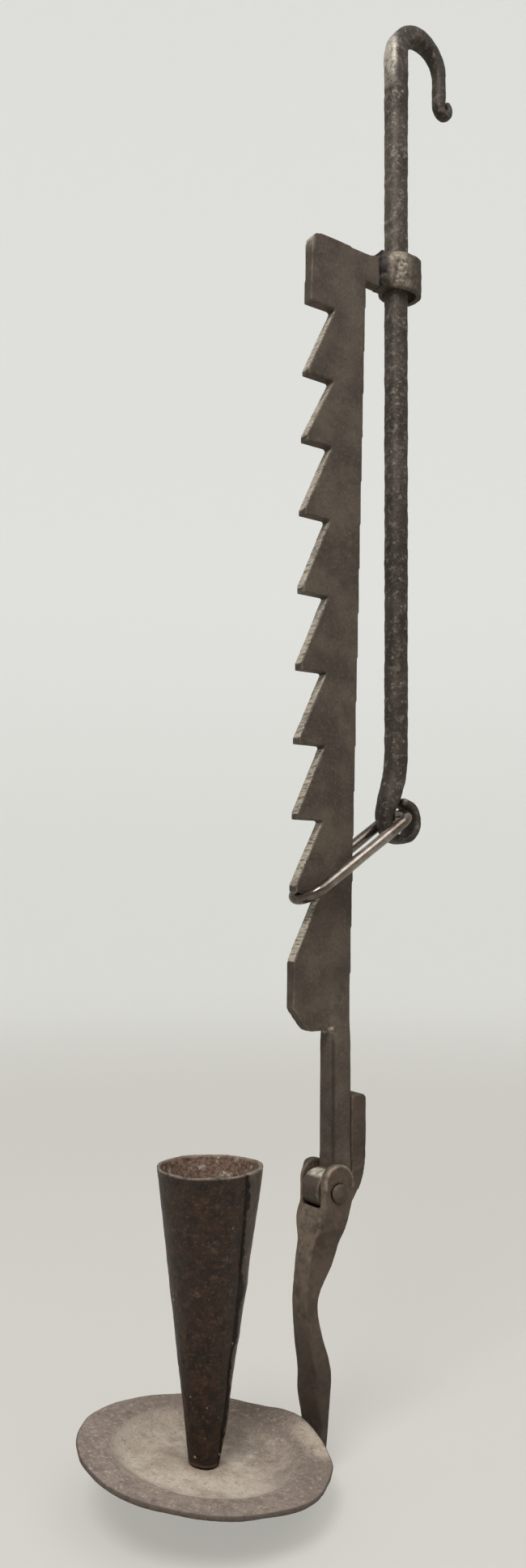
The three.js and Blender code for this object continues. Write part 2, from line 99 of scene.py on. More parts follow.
class Wire:
    """An output socket whose arithmetic adds Math nodes to its tree."""

    def __init__(self, graph, node, output):
        self.graph, self.node, self.output = graph, node, output

    def of(self, name):
        return Wire(self.graph, self.node, self.node.outputs[name])

    def math(self, operation, *values):
        return self.graph.node("ShaderNodeMath", {"operation": operation}, dict(enumerate(values)))

    def __add__(self, other):
        return self.math("ADD", self, other)

    def __radd__(self, other):
        return self.math("ADD", other, self)

    def __sub__(self, other):
        return self.math("SUBTRACT", self, other)

    def __rsub__(self, other):
        return self.math("SUBTRACT", other, self)

    def __mul__(self, other):
        return self.math("MULTIPLY", self, other)

    def __rmul__(self, other):
        return self.math("MULTIPLY", other, self)

    def __truediv__(self, other):
        return self.math("DIVIDE", self, other)

    def __rtruediv__(self, other):
        return self.math("DIVIDE", other, self)

    def sine(self):
        return self.math("SINE", self)

    def clear(self):
        return self.graph.node("ShaderNodeClamp", {}, {0: self})

    def step(self, low, high):
        """0 below low, 1 above high, smooth between; low may be the larger."""
        settings = {"interpolation_type": "SMOOTHSTEP"}
        if isinstance(low, (int, float)) and isinstance(high, (int, float)) and low > high:
            return self.graph.node("ShaderNodeMapRange", settings, {0: self, 1: high, 2: low, 3: 1.0, 4: 0.0})
        return self.graph.node("ShaderNodeMapRange", settings, {0: self, 1: low, 2: high})


class Graph:
    """A node tree that is written as expressions."""

    def __init__(self, tree):
        self.tree = tree

    def node(self, kind, settings=None, inputs=None):
        made = self.tree.nodes.new(kind)
        for key, value in (settings or {}).items():
            setattr(made, key, value)
        for key, value in (inputs or {}).items():
            if isinstance(value, Wire):
                self.tree.links.new(value.output, made.inputs[key])
            else:
                made.inputs[key].default_value = value
        shown = [o for o in made.outputs if o.enabled]
        return Wire(self, made, shown[0] if shown else None)

    def vector(self, operation, *values, scale=None):
        inputs = dict(enumerate(values))
        if scale is not None:
            inputs["Scale"] = scale
        return self.node("ShaderNodeVectorMath", {"operation": operation}, inputs)

    def noise(self, place, size, detail, rough, seed):
        """Cloudy values about 0.5 whose blotches are about size across."""
        inputs = {"Vector": place, "W": seed, "Scale": 1 / size, "Detail": detail, "Roughness": rough}
        return self.node("ShaderNodeTexNoise", {"noise_dimensions": "4D"}, inputs)

    def cells(self, place, size, seed):
        """Distance from scattered points about size apart."""
        inputs = {"Vector": place, "W": seed, "Scale": 1 / size}
        return self.node("ShaderNodeTexVoronoi", {"voronoi_dimensions": "4D"}, inputs)

    def mix(self, factor, a, b):
        """A colour from a to b; sockets 6 and 7 are the Mix node's two colours."""
        return self.node("ShaderNodeMix", {"data_type": "RGBA"}, {0: factor, 6: a, 7: b})

    def spots(self, place, size, radius, share, seed):
        """1 at the middle of scattered spots, 0 beyond their radius; only a share of the cells has one."""
        cell = self.cells(place, size, seed)
        chance = self.node("ShaderNodeSeparateColor", {}, {0: cell.of("Color")})
        return cell.step(radius, 0.0) * chance.step(1 - share, 1 - share + 0.02)


# Geometry trees

def new_tree(name, sockets):
    """A geometry tree with the named inputs, and what its Group Input gives for each name."""
    tree = bpy.data.node_groups.new(name, "GeometryNodeTree")
    tree.interface.new_socket(name="Geometry", in_out="OUTPUT", socket_type="NodeSocketGeometry")
    tree.interface.new_socket(name="Geometry", in_out="INPUT", socket_type="NodeSocketGeometry")
    for label, kind in sockets.items():
        tree.interface.new_socket(name=label, in_out="INPUT", socket_type="NodeSocket" + kind)
    graph = Graph(tree)
    start = graph.node("NodeGroupInput")
    return tree, graph, {label: start.of(label) for label in ("Geometry", *sockets)}


def close_tree(graph, mesh, material):
    """Realize Instances, smooth shading and Set Material, then the tree's output."""
    whole = graph.node("GeometryNodeRealizeInstances", {}, {"Geometry": mesh})
    shaded = graph.node("GeometryNodeSetShadeSmooth", {}, {"Geometry": whole})
    finished = graph.node("GeometryNodeSetMaterial", {}, {"Geometry": shaded, "Material": material})
    graph.node("NodeGroupOutput", {}, {"Geometry": finished})


def forged_skin_tree():
    """Eases a mesh's edges, beats dents, scale, pits and file marks into it, and notes what is worn."""
    tree, g, given = new_tree("forged skin", {
        "Ease": "Int", "Dent Size": "Float", "Dent Depth": "Float",
        "Scale Size": "Float", "Scale Depth": "Float",
        "Pit Size": "Float", "Pit Share": "Float", "Pit Depth": "Float",
        "File Pitch": "Float", "File Depth": "Float", "File Facing": "Vector",
        "File From": "Float", "File Above": "Float",
        "Wear Reach": "Int", "Wear Height": "Float", "Seed": "Float", "Material": "Material",
    })
    place = g.node("GeometryNodeInputPosition")
    normal = g.node("GeometryNodeInputNormal")
    blur = {"data_type": "FLOAT_VECTOR"}
    eased = g.node("GeometryNodeBlurAttribute", blur, {0: place, "Iterations": given["Ease"]})
    soft = g.node("GeometryNodeSetPosition", {}, {"Geometry": given["Geometry"], "Position": eased})

    def rough(size, seed, detail):
        return g.noise(place, size, detail, 0.5, seed) - 0.5

    dents = rough(given["Dent Size"], given["Seed"], 1.0) * given["Dent Depth"] * 2.0
    scale = rough(given["Scale Size"], given["Seed"] + 3.7, 4.0) * given["Scale Depth"] * 2.0
    cell = g.cells(place, given["Pit Size"], given["Seed"])
    chance = g.node("ShaderNodeSeparateXYZ", {}, {0: cell.of("Color")})
    pits = cell.step(0.42, 0.0) * chance.math("LESS_THAN", chance, given["Pit Share"]) * given["Pit Depth"]
    height = g.node("ShaderNodeSeparateXYZ", {}, {0: place}).of("Z")
    toward = g.vector("DOT_PRODUCT", normal, given["File Facing"]).of("Value")
    facing = toward.step(given["File From"], given["File From"] * 0.3 + 0.7)
    facing = facing * height.math("GREATER_THAN", height, given["File Above"])
    wander = rough(given["File Pitch"] * 4.0, given["Seed"] + 9.1, 2.0)
    stroke = (height / given["File Pitch"] * FULL_TURN + wander * 14.0).sine().step(-0.2, 1.0)
    files = stroke * facing * given["File Depth"] * (wander + 0.75)
    offset = g.vector("SCALE", normal, scale=dents + scale - pits - files)
    beaten = g.node("GeometryNodeSetPosition", {}, {"Geometry": soft, "Offset": offset})

    around = g.node("GeometryNodeBlurAttribute", blur, {0: place, "Iterations": given["Wear Reach"]})
    away = g.vector("SUBTRACT", place, around)
    proud = g.vector("DOT_PRODUCT", normal, away).of("Value") / given["Wear Height"]
    marked = beaten
    for label, value in (("worn", proud), ("filed", facing)):
        marked = g.node("GeometryNodeStoreNamedAttribute", {"data_type": "FLOAT", "domain": "POINT"},
                        {"Geometry": marked, "Name": label, "Value": value})
    close_tree(g, marked, given["Material"])
    return tree


def bent_wire_tree():
    """A round wire along the edges of a mesh, in even steps, with closed ends."""
    tree, g, given = new_tree("bent wire", {"Wire Radius": "Float", "Step": "Float", "Material": "Material"})
    path = g.node("GeometryNodeMeshToCurve", {}, {"Mesh": given["Geometry"]})
    even = g.node("GeometryNodeResampleCurve", {"mode": "LENGTH"}, {"Curve": path, "Length": given["Step"]})
    ring = g.node("GeometryNodeCurvePrimitiveCircle", {"mode": "RADIUS"},
                  {"Resolution": 24, "Radius": given["Wire Radius"]})
    tube = g.node("GeometryNodeCurveToMesh", {}, {"Curve": even, "Profile Curve": ring, "Fill Caps": True})
    welded = g.node("GeometryNodeMergeByDistance", {}, {"Geometry": tube, "Distance": 1e-6})
    close_tree(g, welded, given["Material"])
    return tree


FORGED_SKIN = forged_skin_tree()
BENT_WIRE = bent_wire_tree()


def run_tree(thing, tree, **inputs):
    """Puts a geometry tree on an object and gives its inputs their values, by identifier."""
    modifier = thing.modifiers.new(tree.name, "NODES")
    modifier.node_group = tree
    for item in tree.interface.items_tree:
        key = item.name.lower().replace(" ", "_")
        if item.in_out == "INPUT" and key in inputs:
            modifier[item.identifier] = inputs.pop(key)
    assert not inputs, inputs
    return thing


def settle(thing):
    """Turns an object with modifiers into a plain mesh."""
    made = bpy.data.meshes.new_from_object(thing.evaluated_get(bpy.context.evaluated_depsgraph_get()))
    thing.modifiers.clear()
    thing.data = made
    return thing


def skin(thing, material, **inputs):
    """Gives a piece its beaten surface and its finish; lengths in millimetres."""
    lengths = {
        "dent_size": 7.0, "dent_depth": 0.12, "scale_size": 1.6, "scale_depth": 0.05,
        "pit_size": 2.2, "pit_depth": 0.0, "file_pitch": 0.9, "file_depth": 0.0,
        "file_above": -1000.0, "wear_height": 0.16,
    }
    others = {
        "ease": 2, "pit_share": 0.3, "file_facing": (0.0, 0.0, 1.0), "file_from": 0.955,
        "wear_reach": 8, "seed": 0.0,
    }
    lengths.update({k: v for k, v in inputs.items() if k in lengths})
    others.update({k: v for k, v in inputs.items() if k in others})
    metres = {k: v * MM for k, v in lengths.items()}
    settle(run_tree(thing, FORGED_SKIN, material=material, **metres, **others))


# Meshes

def put(name, data):
    """An object of this data, linked to the scene."""
    thing = bpy.data.objects.new(name, data)
    bpy.context.scene.collection.objects.link(thing)
    return thing


def make(name, points, faces):
    """A mesh object from points in millimetres."""
    mesh = bpy.data.meshes.new(name)
    mesh.from_pydata([tuple(p) for p in np.asarray(points, float) * MM], [], faces)
    mesh.update()
    return put(name, mesh)


def band(rows, columns, flip=False):
    """Four-cornered faces of a grid of rows of points, wrapped round along each row."""
    faces = []
    for r in range(rows - 1):
        for c in range(columns):
            a, b = r * columns + c, r * columns + (c + 1) % columns
            quad = (a, b, b + columns, a + columns)
            faces.append(quad[::-1] if flip else quad)
    return faces


def swept(name, stations, around):
    """A forged bar through stations in the plane Y = 0, rows of x, z, thickness, width and section power."""
    s = np.asarray(stations, float)
    along = np.gradient(s[:, :2], axis=0)
    along /= np.linalg.norm(along, axis=1)[:, None]
    across = np.stack([along[:, 1], -along[:, 0]], 1)
    angle = (np.arange(around) + 0.5) / around * 2 * np.pi
    rings = []

    def ring(i, shrink, push):
        power = 2 / s[i, 4]
        u = np.sign(np.cos(angle)) * np.abs(np.cos(angle)) ** power * s[i, 2] / 2 * shrink
        v = np.sign(np.sin(angle)) * np.abs(np.sin(angle)) ** power * s[i, 3] / 2 * shrink
        at = s[i, :2] + along[i] * push
        return np.stack([at[0] + across[i, 0] * u, v, at[1] + across[i, 1] * u], 1)

    last = len(s) - 1
    dome = [(0.35, -0.34), (0.7, -0.25), (0.92, -0.1)]
    rings += [ring(0, shrink, push * s[0, 2]) for shrink, push in dome]
    rings += [ring(i, 1.0, 0.0) for i in range(last + 1)]
    rings += [ring(last, shrink, -push * s[last, 2]) for shrink, push in reversed(dome)]
    faces = band(len(rings), around)
    end = (len(rings) - 1) * around
    faces.append(tuple(range(around))[::-1])
    faces.append(tuple(range(end, end + around)))
    return make(name, np.concatenate(rings), faces)


def arc(centre, radius, start, end, step):
    """Points of an arc in the plane Y = 0, angles in degrees."""
    count = max(4, int(abs(math.radians(end - start)) * radius / step))
    angle = np.radians(np.linspace(start, end, count + 1))
    return np.stack([centre[0] + radius * np.cos(angle), centre[1] + radius * np.sin(angle)], 1)


def bezier(handles, count):
    """Points of a cubic curve in the plane Y = 0, its start left out."""
    t = np.linspace(0, 1, count + 1)[1:, None]
    weights = [(1 - t) ** 3, 3 * t * (1 - t) ** 2, 3 * t * t * (1 - t), t ** 3]
    return sum(w * np.array(h) for w, h in zip(weights, handles))


def smooth(value, low, high):
    """0 below low, 1 above high, smooth between."""
    part = np.clip((np.asarray(value) - low) / (high - low), 0, 1)
    return part * part * (3 - 2 * part)


def run(points, thick, wide, power):
    """Stations along points; each size is a pair of end values."""
    part = np.linspace(0, 1, len(points))
    columns = [np.interp(part, [0, 1], pair) for pair in (thick, wide, power)]
    return np.column_stack([points, *columns])


def solid_copy(node, name, *extras):
    """A copy of a CAD node, merged, with closed extras joined on, to be remeshed as one body."""
    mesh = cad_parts[node].data.copy()
    work = bmesh.new()
    work.from_mesh(mesh)
    for extra in extras:
        work.from_mesh(extra.data)
        bpy.data.objects.remove(extra)
    bmesh.ops.remove_doubles(work, verts=work.verts, dist=1e-6)
    work.to_mesh(mesh)
    work.free()
    mesh.materials.clear()
    return put(name, mesh)


def remesh(thing, voxel):
    """Makes one closed skin of all that a mesh holds, in cells of voxel millimetres."""
    modifier = thing.modifiers.new("one body", "REMESH")
    modifier.mode = "VOXEL"
    modifier.voxel_size = voxel * MM
    modifier.adaptivity = 0.0
    return thing


def blob(name, centre, radii, turn=0.0, fineness=3):
    """A smooth lump, turned about Y by degrees."""
    work = bmesh.new()
    bmesh.ops.create_icosphere(work, subdivisions=fineness, radius=1.0)
    place = Matrix.Translation(Vector(centre) * MM) @ Matrix.Rotation(math.radians(turn), 4, "Y")
    grown = Matrix.Diagonal((*[r * MM for r in radii], 1.0))
    bmesh.ops.transform(work, matrix=place @ grown, verts=work.verts)
    mesh = bpy.data.meshes.new(name)
    work.to_mesh(mesh)
    work.free()
    return put(name, mesh)


def block(name, low, high):
    """A box between two corners, to be fused into a remeshed body."""
    corners = [(x, y, z) for x in (low[0], high[0]) for y in (low[1], high[1]) for z in (low[2], high[2])]
    sides = [(0, 1, 3, 2), (4, 6, 7, 5), (0, 4, 5, 1), (2, 3, 7, 6), (0, 2, 6, 4), (1, 5, 7, 3)]
    return make(name, corners, sides)


def places(thing):
    """A mesh's points in millimetres."""
    flat = np.empty(len(thing.data.vertices) * 3)
    thing.data.vertices.foreach_get("co", flat)
    return flat.reshape(-1, 3) / MM


def facings(thing):
    """A mesh's point normals."""
    flat = np.empty(len(thing.data.vertices) * 3)
    thing.data.vertex_normals.foreach_get("vector", flat)
    return flat.reshape(-1, 3)


def note(thing, name, values):
    """Stores a value for each point of a mesh, for the finishes to read."""
    values = np.asarray(values, np.float32).ravel()
    thing.data.attributes.new(name, "FLOAT", "POINT").data.foreach_set("value", values)


def stand_for(thing, node, body):
    """Hands a finished piece over in place of its CAD node."""
    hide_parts(node)
    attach(thing, body)


# Finishes

def new_material(name):
    material = bpy.data.materials.new(name)
    material.use_nodes = True
    material.node_tree.nodes.clear()
    return material, Graph(material.node_tree)


def surface(graph, colour, roughness, metallic, normal, **constants):
    """The shader of a finish, and the material's output."""
    shader = graph.node("ShaderNodeBsdfPrincipled", {}, {
        "Base Color": colour, "Roughness": roughness, "Metallic": metallic, "Normal": normal, **constants,
    })
    graph.node("ShaderNodeOutputMaterial", {}, {"Surface": shader})


def millimetres(graph):
    """Object coordinates in millimetres."""
    place = graph.node("ShaderNodeTexCoord").of("Object")
    return graph.vector("SCALE", place, scale=1 / MM)


def mark(graph, name):
    """A value that the piece's mesh carries, such as how worn or how filed a place is."""
    return graph.node("ShaderNodeAttribute", {"attribute_name": name}).of("Fac")


def bump(graph, height, depth, strength):
    """Relief whose height runs from 0 to 1 over depth millimetres."""
    return graph.node("ShaderNodeBump", {}, {"Strength": strength, "Distance": depth * MM, "Height": height})


def forged_iron(name, dark, pale, rust, bare, rust_share, wear, flecks, rough, metal, seed,
                filed=0.0, relief=0.12, shine=0.3):
    """Hammered iron: mottled scale, grain, blackened hollows, rust patches, worn edges and filed faces, with
    painted shade and other darkening, and rubbed metal with painted highlights, where a piece marks them.
    """
    pore, hollow, shade_dark_colour = srgb(32, 26, 22), srgb(26, 22, 19), srgb(28, 23, 20)
    material, g = new_material(name)
    place = millimetres(g)
    worn = mark(g, "worn")
    mottle = g.noise(place, 9.0, 5.0, 0.62, seed)
    patch = g.noise(place, 1.6, 4.0, 0.62, seed + 5.0)
    grain = g.noise(place, 0.75, 4.0, 0.75, seed + 11.0)
    colour = g.mix(mottle.step(0.36, 0.64), dark, pale)
    colour = g.mix(patch.step(0.46, 0.7) * 0.55, colour, rust)
    damp = g.noise(place, 10.0, 6.0, 0.65, seed + 17.0) + worn.step(0.0, -0.8) * 0.15
    rusty = damp.step(0.74 - rust_share * 0.4, 0.86 - rust_share * 0.4)
    colour = g.mix(rusty * (0.35 + patch * 0.8), colour, rust)
    colour = g.mix(grain.step(0.48, 0.28) * 0.6, colour, pore)
    colour = g.mix(grain.step(0.52, 0.76) * 0.4, colour, blend(pale, bare, 0.3))
    colour = g.mix(worn.step(-0.2, -1.0) * 0.75, colour, hollow)
    fleck = g.spots(place, 1.0, 0.6, 0.75, seed + 2.0) * grain.step(0.42, 0.6) * patch.step(0.36, 0.58)
    fleck = (fleck + patch.step(0.52, 0.7) * 0.4).clear()
    colour = g.mix(fleck * flecks, colour, bare)
    edge = (worn.step(0.35, 1.05) * patch.step(0.34, 0.62)).clear() * wear
    colour = g.mix(edge, colour, bare)
    stroke = mark(g, "filed") * filed * (0.8 + worn.step(0.1, 0.7) * 0.2)
    # Rubbed metal and painted highlights that each piece marks, mixed towards bare metal.
    rub_and_highlight = (mark(g, "rub_and_highlight") * (0.35 + patch.step(0.36, 0.58) * 0.85)).clear()
    drawn = g.node("ShaderNodeMapping", {}, {"Vector": place, "Scale": (0.35, 0.35, 2.6)})
    streak = g.noise(drawn, 0.9, 3.0, 0.6, seed + 23.0)
    colour = g.mix((stroke * streak.step(0.28, 0.6) * mottle.step(0.05, 0.5)).clear(), colour, bare)
    colour = g.mix(rub_and_highlight, colour, bare)
    # Painted shade and other darkening that each piece marks, mixed towards near-black.
    colour = g.mix(mark(g, "shade_and_darkening") * 0.8, colour, shade_dark_colour)
    rubbed = edge * 0.2 + stroke * 0.15 + rub_and_highlight * 0.12 + fleck * flecks * 0.2
    roughness = (rough + (grain - 0.5) * 0.5 + rusty * 0.15 - rubbed).clear()
    metallic = (metal + edge * 0.3 + stroke * 0.3 + rub_and_highlight * 0.25 - rusty * 0.25).clear()
    height = grain * 0.7 + patch * 0.8 + fleck * flecks * 0.3
    surface(g, colour, roughness, metallic, bump(g, height, relief, 0.9), **{"Specular IOR Level": shine})
    return material


BAR_IRON = forged_iron(
    "bar iron", srgb(61, 53, 46), srgb(82, 73, 63), srgb(72, 59, 53), srgb(196, 187, 172),
    rust_share=0.12, wear=0.2, filed=1.0, flecks=0.03, rough=0.68, metal=0.12, relief=0.22, seed=1.0)
ROD_IRON = forged_iron(
    "rod iron", srgb(48, 41, 35), srgb(70, 62, 55), srgb(70, 57, 49), srgb(196, 189, 177),
    rust_share=0.15, wear=0.36, flecks=0.46, rough=0.52, metal=0.34, relief=0.4, seed=4.0)
COLLAR_IRON = forged_iron(
    "collar iron", srgb(50, 42, 36), srgb(76, 66, 57), srgb(84, 66, 54), srgb(184, 174, 158),
    rust_share=0.3, wear=0.42, flecks=0.2, rough=0.58, metal=0.25, relief=0.25, seed=7.0)
ARM_IRON = forged_iron(
    "arm iron", srgb(62, 53, 45), srgb(82, 70, 60), srgb(90, 69, 57), srgb(164, 147, 130),
    rust_share=0.3, wear=0.4, flecks=0.08, rough=0.64, metal=0.12, relief=0.26, seed=9.0)
RIVET_IRON = forged_iron(
    "rivet iron", srgb(56, 48, 41), srgb(80, 70, 60), srgb(88, 66, 52), srgb(160, 146, 130),
    rust_share=0.3, wear=0.35, flecks=0.15, rough=0.6, metal=0.25, seed=13.0)
WIRE_IRON = forged_iron(
    "bail wire", srgb(108, 99, 91), srgb(152, 143, 134), srgb(104, 80, 66), srgb(222, 215, 206),
    rust_share=0.25, wear=0.1, flecks=0.06, rough=0.2, metal=0.92, relief=0.015, shine=0.5, seed=15.0)


def beaten_pan(name):
    """Dusty sheet: a pale floor, a darker brim with pale flecks, dark spots and rust round the socket, a
    painted lit band on the brim bent up by the arm, and painted shadow with grime towards the arm.
    """
    material, g = new_material(name)
    place = millimetres(g)
    worn = mark(g, "worn")
    from_middle = g.vector("SUBTRACT", place, (PAN_CENTRE.x, 0.0, PAN_CENTRE.y))
    reach = g.vector("LENGTH", from_middle).of("Value")
    bent, edge = mark(g, "bent"), mark(g, "edge")
    cloud = g.noise(place, 8.0, 6.0, 0.64, 2.0)
    mottle = g.noise(place, 1.2, 5.0, 0.68, 6.0)
    grain = g.noise(place, 0.5, 4.0, 0.75, 9.0)
    spots = g.spots(place, 1.5, 0.42, 0.35, 3.0)
    stain = g.noise(place, 3.6, 6.0, 0.7, 14.0)
    armward = g.vector("DOT_PRODUCT", from_middle, (1.0, 0.1, 0.0)).of("Value")
    brim = (reach + (cloud - 0.5) * 5.0).step(20.0, 24.0)
    floor = g.mix(cloud.step(0.34, 0.66), srgb(154, 142, 129), srgb(186, 175, 161))
    speck = grain * 0.55 + mottle * 0.45
    rim_colour = g.mix(stain.step(0.36, 0.64), srgb(116, 103, 96), srgb(142, 129, 119))
    # Painted light: the brim bent up beside the arm is painted pale as a lit band.
    rim_colour = g.mix(bent * stain.step(0.3, 0.58) * 0.75, rim_colour, srgb(184, 172, 155))
    colour = g.mix(brim, floor, rim_colour)
    colour = g.mix(mottle.step(0.5, 0.72) * 0.45, colour, srgb(112, 99, 91))
    colour = g.mix(stain.step(0.48, 0.68) * 0.5, colour, srgb(122, 108, 99))
    # Painted shadow, partly grime: the pan darkens towards the arm, except on the bent brim.
    shadow_and_grime = armward.step(-2.0, 16.0) * (1 - bent) * stain.step(0.22, 0.55)
    colour = g.mix(shadow_and_grime * 0.65, colour, srgb(112, 99, 90))
    colour = g.mix(spots * 0.5, colour, srgb(88, 77, 70))
    colour = g.mix(speck.step(0.49, 0.38) * 0.6, colour, srgb(82, 71, 65))
    colour = g.mix(speck.step(0.52, 0.64) * 0.6, colour, srgb(196, 185, 169))
    flecks = g.spots(place, 1.5, 0.6, 0.6, 41.0) * grain.step(0.4, 0.6) * brim
    colour = g.mix(flecks * 0.6, colour, srgb(194, 184, 170))
    colour = g.mix(reach.step(8.0, 4.3) * cloud.step(0.3, 0.6) * 0.55, colour, srgb(122, 88, 68))
    colour = g.mix(edge * 0.8, colour, srgb(60, 51, 48))
    colour = g.mix(worn.step(0.5, 1.2) * mottle.step(0.4, 0.6) * 0.4, colour, srgb(96, 86, 78))
    roughness = (0.82 + (grain - 0.5) * 0.3 - brim * 0.06).clear()
    relief = bump(g, grain * 0.7 + mottle * 0.8 - spots * 0.3, 0.26, 0.9)
    surface(g, colour, roughness, (brim * 0.08).clear(), relief, **{"Specular IOR Level": 0.3})
    return material


def rolled_sheet(name):
    """Near-black sheet with pits and pale specks outside, rust and old wax inside, and a bare mouth."""
    material, g = new_material(name)
    place = millimetres(g)
    worn = mark(g, "worn")
    inside, lap, mouth = mark(g, "inside"), mark(g, "lap"), mark(g, "mouth")
    mottle = g.noise(place, 2.6, 6.0, 0.7, 3.0)
    grain = g.noise(place, 0.8, 4.0, 0.7, 8.0)
    specks = g.spots(place, 1.5, 0.3, 0.2, 5.0)
    pits = g.spots(place, 1.7, 0.45, 0.4, 12.0)
    colour = g.mix(mottle.step(0.36, 0.66), srgb(22, 13, 8), srgb(50, 33, 22))
    colour = g.mix(grain.step(0.5, 0.7) * 0.6, colour, srgb(92, 68, 50))
    colour = g.mix(lap * mottle.step(0.24, 0.6) * 0.5, colour, srgb(96, 86, 78))
    scabs = g.spots(place, 2.4, 0.5, 0.4, 31.0) * grain.step(0.35, 0.6)
    colour = g.mix(scabs * 0.5, colour, srgb(104, 88, 74))
    colour = g.mix(mark(g, "seam") * (0.4 + mottle).clear() * 0.7, colour, srgb(12, 9, 7))
    colour = g.mix(pits * (0.7 - lap * 0.5), colour, srgb(14, 10, 8))
    colour = g.mix(specks * 0.85, colour, srgb(176, 165, 154))
    rust = g.mix(grain.step(0.36, 0.66), srgb(80, 58, 47), srgb(126, 104, 91))
    wax = g.noise(place, 2.0, 5.0, 0.68, 21.0).step(0.55, 0.64)
    rust = g.mix(wax * 0.62, rust, srgb(190, 181, 170))
    colour = g.mix(inside, colour, rust)
    bare = (mouth * mottle.step(0.36, 0.6) * 0.75).clear()
    colour = g.mix(bare, colour, srgb(152, 142, 130))
    colour = g.mix(worn.step(0.5, 1.1) * 0.35, colour, srgb(104, 92, 82))
    roughness = (0.5 + (grain - 0.5) * 0.5 + inside * 0.3 - lap * 0.1).clear()
    metallic = (bare * 0.4).clear()
    relief = bump(g, grain * 0.8 + mottle * 0.6 - pits * 0.7 + specks * 0.3, 0.3, 1.0)
    surface(g, colour, roughness, metallic, relief, **{"Specular IOR Level": 0.28})
    return material


PAN_SHEET = beaten_pan("pan sheet")
SOCKET_SHEET = rolled_sheet("socket sheet")


# Pieces

def hook_rod():
    """A rod drawn out to a scrolled hook above and to a flat eye below, painted bright on its crown as rubbed
    metal and highlight, with painted shade in the hook's limb.
    """
    skin_room = 0.2
    rod_d = ROD_D - skin_room
    limb_x = ROD_X + 2 * HOOK_R
    lead_top = Vector((ROD_X, EYE.y + EYE_LEAD))
    eye_left = Vector((EYE.x - EYE_R, EYE.y))
    upper_pull = Vector((ROD_X, EYE.y + EYE_LEAD * 0.45))
    lower_pull = Vector((eye_left.x, EYE.y + EYE_LEAD * 0.25))
    lead = bezier([lead_top, upper_pull, lower_pull, eye_left], count=45)
    shaft = np.linspace([ROD_X, BEND_Z], lead_top, 460)[1:]
    limb = np.linspace([limb_x, BEND_Z - LIMB_DROP], [limb_x, BEND_Z], 22)[1:-1]
    scroll = arc((limb_x + SCROLL_R, BEND_Z - LIMB_DROP), SCROLL_R, SCROLL_TURN, -180, step=0.25)
    crown = arc((ROD_X + HOOK_R, BEND_Z), HOOK_R, 0, 180, step=0.4)
    squared = run(shaft, (rod_d, rod_d), (rod_d, rod_d), (3.4, 2.7))
    squared[:, 4] = 2.7 + 0.7 * np.exp((shaft[:, 1] - BEND_Z) / 25.0)
    flat = run(lead, (0, 1), (rod_d, EYE_WIDE), (2.7, 3.0))
    flat[:, 2] = rod_d + (EYE_STRIP - rod_d) * np.linspace(0, 1, len(lead)) ** 3
    eye = arc(EYE, EYE_R, 180, 180 + EYE_TURN, step=0.35)[1:]
    stations = np.concatenate([
        run(scroll, (SCROLL_D, LIMB_D), (SCROLL_D, LIMB_D), (2.2, 2.8)),
        run(limb, (LIMB_D, LIMB_D), (LIMB_D, LIMB_D), (2.8, 3.2)),
        run(crown, (LIMB_D, rod_d), (LIMB_D, rod_d), (3.2, 3.4)),
        squared,
        flat,
        run(eye, (EYE_STRIP, EYE_STRIP), (EYE_WIDE, EYE_WIDE), (3.0, 3.2)),
    ])
    rod = swept("hook_rod_forged", stations, around=40)
    x, y, z = places(rod).T
    leftward = 0.56 * y - 0.83 * (x - ROD_X)
    # Painted highlight, partly rubbed metal: the crown's outer side towards the upper left is painted pale,
    # and faintly the left of the upper shaft as a painted sheen.
    crown_rub_and_highlight = smooth(z, BEND_Z - 13.0, BEND_Z - 1.0) * smooth(leftward, -0.4, 1.4) * 0.8
    shaft_rub_and_sheen = smooth(leftward, -0.6, 1.6) * smooth(z, -130.0, -50.0) * (x < ROD_X + 4.0) * 0.05
    note(rod, "rub_and_highlight", np.maximum(crown_rub_and_highlight, shaft_rub_and_sheen))
    # Painted shade in the hook's limb; the rod is also darker down its lower length.
    inner = smooth(x, ROD_X + 5.0, ROD_X + 9.0) * (z > EYE.y + 30.0) * 0.35
    note(rod, "shade_and_darkening", np.maximum(inner, smooth(-z, 60.0, 170.0) * 0.28))
    skin(rod, ROD_IRON, ease=1, dent_size=3.2, dent_depth=0.2, scale_size=1.0, scale_depth=0.12,
         pit_size=2.0, pit_share=0.35, pit_depth=0.12, seed=2.0, wear_height=0.46)
    stand_for(rod, "hook_rod", "hook")


